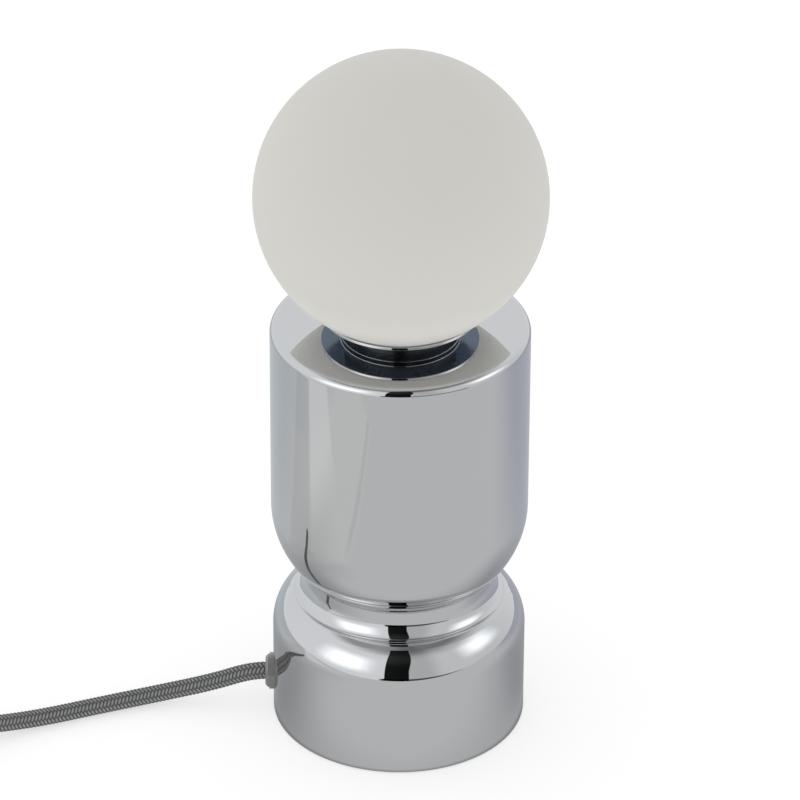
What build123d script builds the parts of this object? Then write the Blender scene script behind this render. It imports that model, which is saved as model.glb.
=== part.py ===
"""Table lamp: opal glass globe on a turned chrome body, with its cord, switch and plug.

Millimetres, +Z up. The origin is the middle of the pad that the lamp stands on, and the
cord leaves the base towards -X.
"""
from build123d import *
import math
import os

# Turned outline, from the table upwards
base_diameter = 106.0
base_wall_height = 41.8
base_shoulder_radius = 19.0
collar_diameter = 92.0
collar_rim_height = 3.3
collar_edge_radius = 1.0
cove_radius = 6.0
waist_height = 4.2
bowl_radius = 42.1
cup_diameter = 107.0
cup_wall_height = 82.2
rim_radius = 2.0

# Globe and the gallery that holds it
globe_diameter = 120.0
glass_wall = 3.0
glass_gap = 0.4
gallery_diameter = 65.2
gallery_rim_height = 8.1
gallery_rim_depth = 1.6
gallery_plate_height = 7.1
gallery_edge_radius = 0.3
spacer_diameter = 46.4
spacer_height = 3.5
gallery_bead_diameter = 48.8
gallery_bead_height = 2.5
gallery_wall = 1.5
gallery_depth = 16.0
globe_neck_diameter = 40.0
thread_gap = 0.3
gasket_height = 2.0
gasket_width = 3.2

# Sheet metal and castings
shell_wall = 1.5
shell_edge_radius = 0.6
collar_wall = 2.5
cover_wall = 1.6
cover_lip = 5.0
fit_gap = 0.15
pad_thickness = 1.6
pad_proud = 0.4
pad_margin = 0.7
weight_thickness = 5.8
weight_hub_diameter = 72.0
weight_hub_height = 3.6

# Three brackets hold the weight in the base, with a screw each
bracket_count = 3
bracket_angle = 14.0
bracket_depth = 9.0
bracket_height = 10.0
bracket_wall = 1.5
bracket_inset = 5.0
base_screw_diameter = 4.0
base_screw_head_diameter = 7.6
base_screw_head_height = 2.2

# Threaded tube that clamps the stack, with its nuts and washers
tube_diameter = 10.0
tube_bore = 7.6
tube_hole_gap = 0.3
tube_end = 1.5
nut_across_flats = 14.0
nut_height = 4.0
washer_diameter = 20.0
washer_thickness = 1.2

# Lampholder and bulb
bracket_span = 23.0
bracket_rise = 9.0
bracket_width = 12.0
bracket_foot = 3.4
holder_plate = 1.2
holder_length = 24.0
holder_width = 15.0
holder_height = 20.0
holder_corner = 4.0
holder_screw_spacing = 14.0
holder_screw_diameter = 3.0
holder_screw_head_diameter = 5.0
holder_screw_head_height = 1.8
holder_screw_length = 6.0
bulb_diameter = 16.0
bulb_base_height = 10.0
bulb_glass_height = 38.0
bulb_pin_spacing = 9.0
bulb_pin_diameter = 1.4
bulb_pin_length = 9.0
pin_play = 0.05

# Cable gland in the wall of the base
gland_height = 15.9
gland_hole = 10.2
gland_flange_diameter = 15.6
gland_flange_depth = 1.7
gland_cap_diameter = 14.2
gland_cap_depth = 1.7
gland_cap_chamfer = 1.1
gland_thread_length = 8.0
gland_nut_diameter = 15.0
gland_nut_depth = 3.0

# Mains wiring inside the base
terminal_length = 17.0
terminal_width = 17.0
terminal_height = 13.0
terminal_x = -17.0
terminal_pitch = 8.0
terminal_screw_diameter = 3.2
terminal_screw_depth = 5.0
wire_diameter = 2.0
wire_spread = 2.8
core_length = 6.0
core_spread = 3.6

# Cord, its switch, its coil and its plug
cord_diameter = 7.2
cord_gap = 0.1
bend_share = 0.45
gland_lead = 8.0
switch_lead = 11.0
switch_exit_lead = 10.0
coil_lead = 11.0
plug_lead = 10.0
switch_length = 62.0
switch_width = 27.0
switch_end_width = 14.0
switch_flat = 34.0
switch_lower_height = 8.3
switch_upper_height = 9.0
switch_floor_gap = 0.2
switch_edge = 1.5
switch_wall = 2.4
switch_heading = 195.0
switch_start = (-192.0, -35.2)
rocker_length = 19.2
rocker_width = 12.0
rocker_gap = 0.4
rocker_tilt = 8.0
rocker_rise = 1.6
rocker_skirt_angle = -12.0
pivot_diameter = 3.0
pivot_length = 1.6
pivot_depth = 3.2
switch_screw_diameter = 2.6
switch_screw_head_diameter = 5.0
switch_screw_length = 11.0
switch_screw_head_height = 1.8
switch_screw_x = 18.0
switch_screw_y = 7.5
contact_thickness = 0.8
contact_width = 4.0
contact_height = 4.0
contact_gap = 3.0
coil_centre = (-318.0, -4.0)
coil_radius = 42.5
coil_pitch = 7.8
coil_rise = 7.8
coil_layer_turns = 2.5
coil_climb_turns = 0.5
tie_width = 12.0
tie_thickness = 0.8
tie_room = 1.0
tie_floor_gap = 0.2
tie_under = 0.3
tie_turn = 0.25
plug_start = (-251.0, 36.5)
plug_heading = -22.0
plug_thickness = 13.7
plug_width = 35.3
plug_neck_width = 16.0
plug_straight = 10.0
plug_length = 30.0
plug_edge = 3.0
plug_floor_gap = 0.2
boot_length = 20.0
boot_root_diameter = 11.0
boot_tip_diameter = 8.6
pin_spacing = 18.6
pin_diameter = 4.0
pin_length = 19.0
pin_sleeve_length = 10.0
pin_sleeve_diameter = 3.6
pin_core_diameter = 2.8
pin_root = 8.0

# Heights and radii that follow from those sizes
base_r = base_diameter / 2
cup_r = cup_diameter / 2
collar_r = collar_diameter / 2
globe_r = globe_diameter / 2
waist_r = collar_r - collar_edge_radius - cove_radius
shoulder_r = base_r - base_shoulder_radius
bowl_r = cup_r - bowl_radius
wall_top = pad_proud + base_wall_height
base_top = wall_top + math.sqrt(base_shoulder_radius**2 - (collar_r - shoulder_r) ** 2)
collar_rim_top = base_top + collar_rim_height
cove_top = collar_rim_top + cove_radius
cup_bottom = cove_top + waist_height
bowl_z = cup_bottom + math.sqrt(bowl_radius**2 - (waist_r - bowl_r) ** 2)
cup_rim = bowl_z + cup_wall_height
top = cup_rim + rim_radius
base_bore = base_r - shell_wall
cup_bore = cup_r - shell_wall
weight_top = pad_thickness + weight_thickness
hub_top = weight_top + weight_hub_height
tube_r = tube_diameter / 2
tube_hole = tube_r + tube_hole_gap
gallery_r = gallery_diameter / 2
neck_r = globe_neck_diameter / 2
sleeve_bore = neck_r + thread_gap
sleeve_r = sleeve_bore + gallery_wall
gallery_floor = top - gallery_depth + gallery_wall
dish_radius = globe_r + glass_gap
globe_z = top + gallery_rim_height + math.sqrt(dish_radius**2 - gallery_r**2)
plate_top = top + gallery_plate_height
globe_seat = plate_top + glass_gap
neck_end = gallery_floor + gasket_height
clamp_under = base_top - shell_wall
tube_foot = clamp_under - washer_thickness - nut_height - tube_end
tube_head = gallery_floor + washer_thickness + nut_height + tube_end
holder_foot = gallery_floor + bracket_rise + holder_plate
holder_top = holder_foot + holder_height
bulb_glass_foot = holder_top + bulb_base_height
cord_r = cord_diameter / 2
gland_face = -base_r - gland_flange_depth - gland_cap_depth
gland_inner = -base_bore + gland_thread_length


def corner(radius, height):
    """Point of the turning plane."""
    return Vector(radius, 0, height)


def arc(centre, radius, start, end):
    """Arc of the turning plane about a centre, between two angles in degrees."""
    middle = corner(*centre)
    points = []
    for degrees in (start, (start + end) / 2, end):
        turn = math.radians(degrees)
        points.append(middle + corner(radius * math.cos(turn), radius * math.sin(turn)))
    return ThreePointArc(*points)


def edges_of(items):
    """Close an outline of corners and arcs with straight lines."""
    edges = []
    for item, following in zip(items, items[1:] + items[:1]):
        if isinstance(item, Edge):
            edges.append(item)
        start = item @ 1 if isinstance(item, Edge) else corner(*item)
        end = following @ 0 if isinstance(following, Edge) else corner(*following)
        if (end - start).length > 1e-6:
            edges.append(Line(start, end))
    return edges


def lathe(*items):
    """Revolve an outline of corners and arcs about the lamp's axis."""
    return revolve(make_face(edges_of(list(items))), axis=Axis.Z)


def disc(radius, low, high):
    """Round bar along Z between two heights."""
    return Pos(0, 0, low) * Cylinder(radius, high - low, align=(Align.CENTER, Align.CENTER, Align.MIN))


def bar(radius, start, end):
    """Round bar between two points."""
    line = Line(start, end)
    return sweep(Plane(line @ 0, z_dir=line % 0) * Circle(radius), path=line)


def block(x, y, z):
    """Box between low and high values on each axis."""
    size = [high - low for low, high in (x, y, z)]
    return Pos(x[0], y[0], z[0]) * Box(*size, align=(Align.MIN, Align.MIN, Align.MIN))


def soften(shape, corners, radius):
    """Round the turned edges that run through the given corners of the turning plane."""
    rims = shape.edges().filter_by(GeomType.CIRCLE)
    chosen = [
        rim
        for rim in rims
        for r, z in corners
        if abs(rim.radius - r) < 1e-4 and abs(rim.center().Z - z) < 1e-4
    ]
    return fillet(chosen, radius)


def sine_angle(height, radius):
    """Angle in degrees whose sine is the height over the radius."""
    return math.degrees(math.asin(height / radius))


def cosine_angle(reach, radius):
    """Angle in degrees whose cosine is the reach over the radius."""
    return math.degrees(math.acos(reach / radius))


nodes = {}

# Base: shell, pad, cast weight, brackets and screws
shoulder_centre = (shoulder_r, wall_top)
shoulder_end = sine_angle(base_top - wall_top, base_shoulder_radius)
inner_shoulder = base_shoulder_radius - shell_wall
base_shell = lathe(
    (base_r, pad_proud),
    arc(shoulder_centre, base_shoulder_radius, 0, shoulder_end),
    (tube_hole, base_top),
    (tube_hole, clamp_under),
    arc(shoulder_centre, inner_shoulder, sine_angle(clamp_under - wall_top, inner_shoulder), 0),
    (base_bore, pad_proud),
)
base_shell = soften(base_shell, [(base_r, pad_proud)], shell_edge_radius)
gland_axis = Plane((0, 0, gland_height), x_dir=(0, 1, 0), z_dir=(-1, 0, 0))
nodes["base_shell"] = base_shell - gland_axis * Cylinder(
    gland_hole / 2, 2 * base_r, align=(Align.CENTER, Align.CENTER, Align.MIN)
)
nodes["base_pad"] = disc(base_bore - pad_margin, 0, pad_thickness)

weight_r = base_bore - fit_gap
screw_circle = base_bore - bracket_inset
base_screw_r = base_screw_diameter / 2
bracket_angles = [k * 360 / bracket_count for k in range(bracket_count)]
screw_places = [Rot(0, 0, a) * Pos(screw_circle, 0, 0) for a in bracket_angles]
weight = disc(weight_r, pad_thickness, weight_top) + disc(weight_hub_diameter / 2, weight_top, hub_top)
base_screw = disc(base_screw_head_diameter / 2, pad_thickness, pad_thickness + base_screw_head_height)
base_screw += disc(base_screw_r, pad_thickness, weight_top + bracket_wall)
screw_room = disc(base_screw_head_diameter / 2 + fit_gap, 0, pad_thickness + base_screw_head_height)
screw_room += disc(base_screw_r + fit_gap, 0, weight_top + 2 * bracket_wall)
for place in screw_places:
    weight -= place * screw_room
nodes["base_weight"] = weight
nodes["base_screws"] = Compound(children=[place * base_screw for place in screw_places])

leg_r = base_bore - fit_gap
bracket_outline = edges_of(
    [
        (leg_r - bracket_depth, weight_top),
        (leg_r, weight_top),
        (leg_r, weight_top + bracket_height),
        (leg_r - bracket_wall, weight_top + bracket_height),
        (leg_r - bracket_wall, weight_top + bracket_wall),
        (leg_r - bracket_depth, weight_top + bracket_wall),
    ]
)
bracket = Rot(0, 0, -bracket_angle / 2) * revolve(make_face(bracket_outline), Axis.Z, bracket_angle)
bracket -= Pos(screw_circle, 0, 0) * disc(base_screw_r, 0, weight_top + 2 * bracket_wall)
nodes["base_brackets"] = Compound(children=[Rot(0, 0, a) * bracket for a in bracket_angles])

# Waist collar: rim, cove and waist in one turned ring
rim_centre = (collar_r - collar_edge_radius, collar_rim_top - collar_edge_radius)
nodes["waist_collar"] = lathe(
    (waist_r - collar_wall, base_top),
    (collar_r, base_top),
    arc(rim_centre, collar_edge_radius, 0, 90),
    arc((waist_r + cove_radius, cove_top), cove_radius, 270, 180),
    (waist_r, cup_bottom),
    (waist_r - collar_wall, cup_bottom),
)

# Cup: round-bottomed shell with a flat cover let into its rim
bowl_centre = (bowl_r, bowl_z)
cup_floor = cup_bottom + shell_wall
inner_bowl = bowl_radius - shell_wall
nodes["cup_shell"] = lathe(
    (tube_hole, cup_bottom),
    arc(bowl_centre, bowl_radius, sine_angle(cup_bottom - bowl_z, bowl_radius), 0),
    (cup_r, cup_rim),
    (cup_bore, cup_rim),
    arc(bowl_centre, inner_bowl, 0, sine_angle(cup_floor - bowl_z, inner_bowl)),
    (tube_hole, cup_floor),
)
lip_r = cup_bore - fit_gap
sleeve_hole = sleeve_r + tube_hole_gap
nodes["top_cover"] = lathe(
    arc((cup_r - rim_radius, cup_rim), rim_radius, 0, 90),
    (sleeve_hole, top),
    (sleeve_hole, top - cover_wall),
    (lip_r - cover_wall, top - cover_wall),
    (lip_r - cover_wall, cup_rim - cover_lip),
    (lip_r, cup_rim - cover_lip),
    (lip_r, cup_rim),
)

# Gallery: threaded sleeve let through the cover, with a bead and the rimmed plate, on a black spacer ring
spacer_top = top + spacer_height
bead_top = spacer_top + gallery_bead_height
bead_r = gallery_bead_diameter / 2
rim_foot = top + gallery_rim_height - gallery_rim_depth
globe_centre = (0, globe_z)
gallery = lathe(
    (tube_hole, gallery_floor - gallery_wall),
    (sleeve_r, gallery_floor - gallery_wall),
    (sleeve_r, spacer_top),
    (bead_r, spacer_top),
    (bead_r, bead_top),
    (gallery_r, rim_foot),
    arc(
        globe_centre,
        dish_radius,
        -cosine_angle(gallery_r, dish_radius),
        sine_angle(plate_top - globe_z, dish_radius),
    ),
    (sleeve_bore, plate_top),
    (sleeve_bore, gallery_floor),
    (tube_hole, gallery_floor),
)
rim_corners = [(gallery_r, rim_foot), (gallery_r, top + gallery_rim_height)]
bead_corners = [(bead_r, spacer_top), (bead_r, bead_top)]
nodes["gallery"] = soften(gallery, rim_corners + bead_corners, gallery_edge_radius)
nodes["gallery_spacer"] = disc(spacer_diameter / 2, top, spacer_top) - disc(sleeve_r + fit_gap, 0, spacer_top)

# Globe: opal glass, flattened where it meets the plate
neck_bore = neck_r - glass_wall
glass_inner = globe_r - glass_wall
inner_seat = globe_seat + glass_wall
mouth_r = math.sqrt(glass_inner**2 - (globe_z - inner_seat) ** 2)
nodes["glass_globe"] = lathe(
    (mouth_r, globe_seat),
    arc(globe_centre, globe_r, sine_angle(globe_seat - globe_z, globe_r), 90),
    arc(globe_centre, glass_inner, 90, sine_angle(inner_seat - globe_z, glass_inner)),
)
# Neck: a flange that closes the globe's mouth, and the tube that stands on a flat gasket
nodes["globe_neck"] = lathe(
    (neck_bore, neck_end),
    (neck_r, neck_end),
    (neck_r, globe_seat),
    (mouth_r, globe_seat),
    (mouth_r, inner_seat),
    (neck_bore, inner_seat),
)
nodes["globe_gasket"] = disc(neck_r, gallery_floor, neck_end) - disc(neck_r - gasket_width, 0, neck_end)

# Threaded tube with a washer and a nut at each end
nodes["threaded_tube"] = disc(tube_r, tube_foot, tube_head) - disc(tube_bore / 2, 0, tube_head)
washer = disc(washer_diameter / 2, 0, washer_thickness) - disc(tube_hole, 0, washer_thickness)
nut = extrude(RegularPolygon(nut_across_flats / 2, 6, major_radius=False), nut_height)
nut -= disc(tube_r + pin_play, 0, nut_height)
nodes["lower_washer"] = Pos(0, 0, clamp_under - washer_thickness) * washer
nodes["lower_nut"] = Pos(0, 0, clamp_under - washer_thickness - nut_height) * nut
nodes["upper_washer"] = Pos(0, 0, gallery_floor) * washer
nodes["upper_nut"] = Pos(0, 0, gallery_floor + washer_thickness) * nut

# Lampholder on a bridge over the upper nut
half_span = bracket_span / 2
bridge_top = gallery_floor + bracket_rise
bridge_outline = edges_of(
    [
        (-half_span - bracket_foot, gallery_floor),
        (-half_span + holder_plate, gallery_floor),
        (-half_span + holder_plate, bridge_top),
        (half_span - holder_plate, bridge_top),
        (half_span - holder_plate, gallery_floor),
        (half_span + bracket_foot, gallery_floor),
        (half_span + bracket_foot, gallery_floor + holder_plate),
        (half_span, gallery_floor + holder_plate),
        (half_span, holder_foot),
        (-half_span, holder_foot),
        (-half_span, gallery_floor + holder_plate),
        (-half_span - bracket_foot, gallery_floor + holder_plate),
    ]
)
bridge = extrude(make_face(bridge_outline), bracket_width / 2, dir=(0, 1, 0), both=True)
bridge -= disc(tube_bore / 2, bridge_top, holder_foot)
holder_screw_r = holder_screw_diameter / 2
holder_screw_places = [Pos(side * holder_screw_spacing / 2, 0, 0) for side in (-1, 1)]
holder_plan = RectangleRounded(holder_length, holder_width, holder_corner)
holder = Pos(0, 0, holder_foot) * extrude(holder_plan, holder_height)
socket_depth = bulb_pin_length + pin_play
bulb_pin_places = [Pos(side * bulb_pin_spacing / 2, 0, 0) for side in (-1, 1)]
for place in bulb_pin_places:
    holder -= place * disc(bulb_pin_diameter / 2 + pin_play, holder_top - socket_depth, holder_top)
screw_tip = holder_foot + holder_screw_length
for place in holder_screw_places:
    bridge -= place * disc(holder_screw_r + fit_gap, bridge_top, holder_foot)
    holder -= place * disc(holder_screw_r + pin_play, holder_foot, screw_tip + fit_gap)
holder_screw = disc(holder_screw_r, bridge_top, screw_tip)
holder_screw += disc(holder_screw_head_diameter / 2, bridge_top - holder_screw_head_height, bridge_top)
nodes["lampholder_bridge"] = bridge
nodes["lampholder"] = holder
nodes["lampholder_screws"] = Compound(children=[place * holder_screw for place in holder_screw_places])

# Bulb: two pins, a base and a round-topped glass
bulb_r = bulb_diameter / 2
dome_z = bulb_glass_foot + bulb_glass_height - bulb_r
nodes["bulb_base"] = disc(bulb_r, holder_top, bulb_glass_foot)
nodes["bulb_glass"] = lathe(
    (0, bulb_glass_foot),
    (bulb_r, bulb_glass_foot),
    arc((0, dome_z), bulb_r, 0, 90),
)
bulb_pin = disc(bulb_pin_diameter / 2, holder_top - bulb_pin_length, holder_top)
nodes["bulb_pins"] = Compound(children=[place * bulb_pin for place in bulb_pin_places])

# Cable gland: flange shaped to the wall, cap outside and nut inside
gland = gland_axis * Pos(0, 0, base_r - gland_flange_diameter / 4) * Cylinder(
    gland_flange_diameter / 2,
    gland_flange_depth + gland_flange_diameter / 4,
    align=(Align.CENTER, Align.CENTER, Align.MIN),
)
gland -= disc(base_r, pad_proud, wall_top)
cap = Cylinder(gland_cap_diameter / 2, gland_cap_depth, align=(Align.CENTER, Align.CENTER, Align.MIN))
cap = chamfer(cap.edges().group_by(Axis.Z)[-1], gland_cap_chamfer)
gland += gland_axis * Pos(0, 0, base_r + gland_flange_depth) * cap
gland_shank_r = gland_hole / 2 - fit_gap
gland_flange_face = gland_face + gland_cap_depth
gland += bar(gland_shank_r, (gland_flange_face, 0, gland_height), (gland_inner, 0, gland_height))
tail_end = terminal_x - terminal_length / 2 - core_length
cord_room = bar(cord_r + cord_gap, (gland_face - cord_r, 0, gland_height), (tail_end, 0, gland_height))
nodes["cable_gland"] = gland - cord_room
nut_bore = gland_shank_r + pin_play
nut_r = gland_nut_diameter / 2
nut_seat = -math.sqrt(base_bore**2 - nut_r**2)
nut_back = nut_seat + gland_nut_depth
gland_nut = bar(nut_r, (nut_seat, 0, gland_height), (nut_back, 0, gland_height))
nodes["gland_nut"] = gland_nut - bar(nut_bore, (-base_r, 0, gland_height), (gland_inner, 0, gland_height))

# Terminal block on the weight, between the cord's cores and the wires to the lamp
terminal_face = terminal_x - terminal_length / 2
terminal_back = terminal_x + terminal_length / 2
terminal_mid = hub_top + terminal_height / 2
terminal = block(
    (terminal_face, terminal_back),
    (-terminal_width / 2, terminal_width / 2),
    (hub_top, hub_top + terminal_height),
)
terminal_screw = disc(
    terminal_screw_diameter / 2, hub_top + terminal_height - terminal_screw_depth, hub_top + terminal_height
)
terminal_screws = [
    Pos(terminal_x + along * terminal_length / 4, side * terminal_pitch / 2, 0) * terminal_screw
    for side in (-1, 1)
    for along in (-1, 1)
]
for screw in terminal_screws:
    terminal -= screw
nodes["terminal_block"] = terminal
nodes["terminal_screws"] = Compound(children=terminal_screws)
nodes["cord_tail"] = bar(cord_r, (gland_face, 0, gland_height), (tail_end, 0, gland_height))


def wire(points, radius, bend):
    """Round wire along straight runs with equal bends."""
    path = FilletPolyline(*points, radius=bend)
    return sweep(Plane(path @ 0, z_dir=path % 0) * Circle(radius), path=path)


wire_r = wire_diameter / 2
cores = []
for name, side in (("live_wire", 1), ("neutral_wire", -1)):
    at_tail = side * core_spread / 2
    at_terminal = side * terminal_pitch / 2
    in_tube = side * wire_spread / 2
    core = [
        (tail_end, at_tail, gland_height),
        (tail_end + core_length / 3, at_tail, gland_height),
        (terminal_face - core_length / 3, at_terminal, terminal_mid),
        (terminal_face, at_terminal, terminal_mid),
    ]
    cores.append(wire(core, wire_r, core_length / 3))
    lamp_wire = [
        (terminal_back, at_terminal, terminal_mid),
        (0, at_terminal, terminal_mid),
        (0, in_tube, tube_foot - wire_diameter),
        (0, in_tube, holder_foot),
    ]
    nodes[name] = wire(lamp_wire, wire_r, -terminal_back / 3)
nodes["cord_cores"] = Compound(children=cores)


def tube_along(points, title):
    """Cord through a list of points, each corner rounded as far as its runs allow."""
    points = [Vector(*p) for p in points]
    runs = [after - before for before, after in zip(points, points[1:])]
    radii = []
    for before, after in zip(runs, runs[1:]):
        half_turn = math.radians(before.get_angle(after)) / 2
        radii.append(bend_share * min(before.length, after.length) / math.tan(half_turn))
    path = FilletPolyline(*points, radius=radii)
    tube = sweep(Plane(path @ 0, z_dir=path % 0) * Circle(cord_r), path=path)
    expected = math.pi * cord_r**2 * path.length
    print(title, "radii", [round(r, 1) for r in radii], "length", round(path.length, 1))
    print(title, "volume over section times length", round(tube.volume / expected, 4))
    return tube


def heading(degrees):
    """Level unit vector at an angle from +X."""
    return Vector(math.cos(math.radians(degrees)), math.sin(math.radians(degrees)), 0)


# Cord from the gland to the switch
switch_split = switch_floor_gap + switch_lower_height
switch_axis = heading(switch_heading)
switch_near = Vector(*switch_start, switch_split)
switch_far = switch_near + switch_axis * switch_length
lamp_run = [
    (gland_face, 0, gland_height),
    (gland_face - gland_lead, 0, gland_height),
    (-80.0, 0.3, 11.3),
    (-101.0, -0.5, 4.5),
    (-126.0, -8.5, cord_r),
    (-150.0, -18.5, 3.9),
    (-169.0, -26.6, 5.9),
    switch_near - switch_axis * switch_lead,
    switch_near,
]
nodes["cord_to_switch"] = tube_along(lamp_run, "cord to switch")

# Switch: two shells, a rocker on its own pivots, contacts and screws, all in its own frame
switch_place = Location(Plane((switch_near + switch_far) / 2, x_dir=switch_axis, z_dir=(0, 0, 1)))
half_length = switch_length / 2
half_width = switch_width / 2
plan = Polyline(
    (-half_length, -switch_end_width / 2),
    (-switch_flat / 2, -half_width),
    (switch_flat / 2, -half_width),
    (half_length, -switch_end_width / 2),
    (half_length, switch_end_width / 2),
    (switch_flat / 2, half_width),
    (-switch_flat / 2, half_width),
    (-half_length, switch_end_width / 2),
    close=True,
)
shell_plan = make_face(plan)
lower = extrude(shell_plan, -switch_lower_height)
lower = fillet(lower.edges().group_by(Axis.Z)[0], switch_edge)
upper = extrude(shell_plan, switch_upper_height)
upper = fillet(upper.edges().group_by(Axis.Z)[-1], switch_edge)
pivot_z = switch_upper_height - pivot_depth
rocker_r = rocker_length / 2
slot_length = rocker_length + 2 * rocker_gap
slot_width = rocker_width + 2 * rocker_gap
slot = Box(slot_length, slot_width, 2 * switch_upper_height)
pocket_height = switch_lower_height - switch_wall
pocket = Pos(0, 0, -pocket_height) * Box(
    slot_length, slot_width, pocket_height, align=(Align.CENTER, Align.CENTER, Align.MIN)
)
pivot_y = rocker_width / 2 + pivot_length
pivot_hole_y = pivot_y + rocker_gap
pivot_hole = bar(pivot_diameter / 2 + pin_play, (0, -pivot_hole_y, pivot_z), (0, pivot_hole_y, pivot_z))
switch_screw_r = switch_screw_diameter / 2
screw_spots = [Pos(side * switch_screw_x, side * switch_screw_y, 0) for side in (-1, 1)]
head_top = -switch_lower_height + switch_screw_head_height
screw_point = -switch_lower_height + switch_screw_length
switch_screw = disc(switch_screw_head_diameter / 2, -switch_lower_height + fit_gap, head_top)
switch_screw += disc(switch_screw_r, head_top, screw_point)
head_room = disc(switch_screw_head_diameter / 2 + fit_gap, -2 * switch_lower_height, head_top)
shank_room = disc(switch_screw_r + pin_play, -switch_lower_height, screw_point + fit_gap)
for spot in screw_spots:
    lower -= spot * (head_room + shank_room)
    upper -= spot * shank_room
nodes["switch_lower_shell"] = switch_place * (lower - pocket)
nodes["switch_upper_shell"] = switch_place * (upper - slot - pivot_hole)
nodes["switch_screws"] = Compound(children=[switch_place * spot * switch_screw for spot in screw_spots])

# The rocker's two faces lean away from each other, so one of them is always pressed flush
lean = math.radians(rocker_tilt)
rocker_end = math.acos((pivot_depth + rocker_rise / 2) / rocker_r)
end_x = rocker_r * math.sin(rocker_end)
end_z = rocker_r * math.cos(rocker_end)
ridge_z = end_z - end_x * math.tan(lean)
skirt_angle = math.radians(rocker_skirt_angle)
skirt_x = rocker_r * math.cos(skirt_angle)
skirt_z = rocker_r * math.sin(skirt_angle)
side_angle = (math.pi / 2 - rocker_end + skirt_angle) / 2
side_x = rocker_r * math.cos(side_angle)
side_z = rocker_r * math.sin(side_angle)
rocker_edges = [
    Line((0, 0, ridge_z), (end_x, 0, end_z)),
    ThreePointArc((end_x, 0, end_z), (side_x, 0, side_z), (skirt_x, 0, skirt_z)),
    Line((skirt_x, 0, skirt_z), (-skirt_x, 0, skirt_z)),
    ThreePointArc((-skirt_x, 0, skirt_z), (-side_x, 0, side_z), (-end_x, 0, end_z)),
    Line((-end_x, 0, end_z), (0, 0, ridge_z)),
]
rocker = extrude(make_face(rocker_edges), rocker_width / 2, dir=(0, 1, 0), both=True)
rocker += bar(pivot_diameter / 2, (0, -pivot_y, 0), (0, pivot_y, 0))
nodes["switch_rocker"] = switch_place * Pos(0, 0, pivot_z) * Rot(0, rocker_tilt, 0) * rocker

contact = Pos(0, 0, -pocket_height) * Box(
    contact_thickness, contact_width, contact_height, align=(Align.CENTER, Align.CENTER, Align.MIN)
)
contacts = [switch_place * Pos(side * contact_gap / 2, 0, 0) * contact for side in (-1, 1)]
nodes["switch_contacts"] = Compound(children=contacts)

# Coil: spirals in on the lower layer and out on the upper one, climbing where it turns back
coil_low = tie_floor_gap + tie_thickness + tie_under + cord_r
coil_outer = coil_radius + coil_pitch * coil_layer_turns / 2
coil_inner = coil_outer - coil_pitch * coil_layer_turns
coil_turns = 2 * coil_layer_turns + coil_climb_turns


def coil_point(turn):
    """Point of the coil's middle line, counted in turns from its outer end on the lower layer."""
    climb = min(max((turn - coil_layer_turns) / coil_climb_turns, 0), 1)
    back = max(turn - coil_layer_turns - coil_climb_turns, 0)
    reverse = coil_climb_turns * climb * (1 - climb)
    radius = coil_outer - coil_pitch * (min(turn, coil_layer_turns) + reverse - back)
    angle = -math.pi / 2 - 2 * math.pi * turn
    height = coil_low + coil_rise * climb**2 * (3 - 2 * climb)
    x = coil_centre[0] + radius * math.cos(angle)
    y = coil_centre[1] + radius * math.sin(angle)
    return Vector(x, y, height)


def coil_direction(turn):
    """Unit tangent of the coil's middle line."""
    step = 1e-4
    return (coil_point(turn + step) - coil_point(turn - step)).normalized()


def tangent_arc(start, knee, end):
    """Arc that leaves start towards the knee and reaches end coming from it."""
    middle = (start + end) / 2
    slope = math.atan2((knee - middle).length, (end - start).length / 2)
    if slope < 1e-6:
        return Line(start, end)
    crown = middle + (knee - middle) * (math.tan(slope / 2) / math.tan(slope))
    return ThreePointArc(start, crown, end)


def biarc(start, start_way, end, end_way):
    """Two arcs that join two points in two directions."""
    chord = end - start
    both = start_way + end_way
    spread = 2 * (1 - start_way.dot(end_way))
    along = chord.dot(both)
    reach = (math.sqrt(along**2 + spread * chord.dot(chord)) - along) / spread
    first_knee = start + start_way * reach
    second_knee = end - end_way * reach
    join = (first_knee + second_knee) / 2
    return [tangent_arc(start, first_knee, join), tangent_arc(join, second_knee, end)]


quarters = round(coil_turns * 4)
stations = [k / 4 for k in range(quarters + 1)]
coil_start = coil_point(0) - coil_direction(0) * cord_diameter
coil_end = coil_point(coil_turns) + coil_direction(coil_turns) * cord_diameter
coil_edges = [Line(coil_start, coil_point(0))]
for before, after in zip(stations, stations[1:]):
    coil_edges += biarc(coil_point(before), coil_direction(before), coil_point(after), coil_direction(after))
coil_edges.append(Line(coil_point(coil_turns), coil_end))
coil_path = Wire(coil_edges)
nodes["cord_coil"] = sweep(Plane(coil_start, z_dir=coil_direction(0)) * Circle(cord_r), path=coil_path)

samples_per_turn = 60
samples = [coil_point(k / samples_per_turn) for k in range(round(coil_turns * samples_per_turn) + 1)]
half_a_turn = samples_per_turn // 2
least = min(
    (samples[i] - samples[j]).length
    for i in range(len(samples))
    for j in range(i + half_a_turn, len(samples))
)
print("coil length", round(coil_path.length, 1), "least gap to itself", round(least - cord_diameter, 2))
coil_volume = math.pi * cord_r**2 * coil_path.length
print("coil volume over section times length", round(nodes["cord_coil"].volume / coil_volume, 4))

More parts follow.
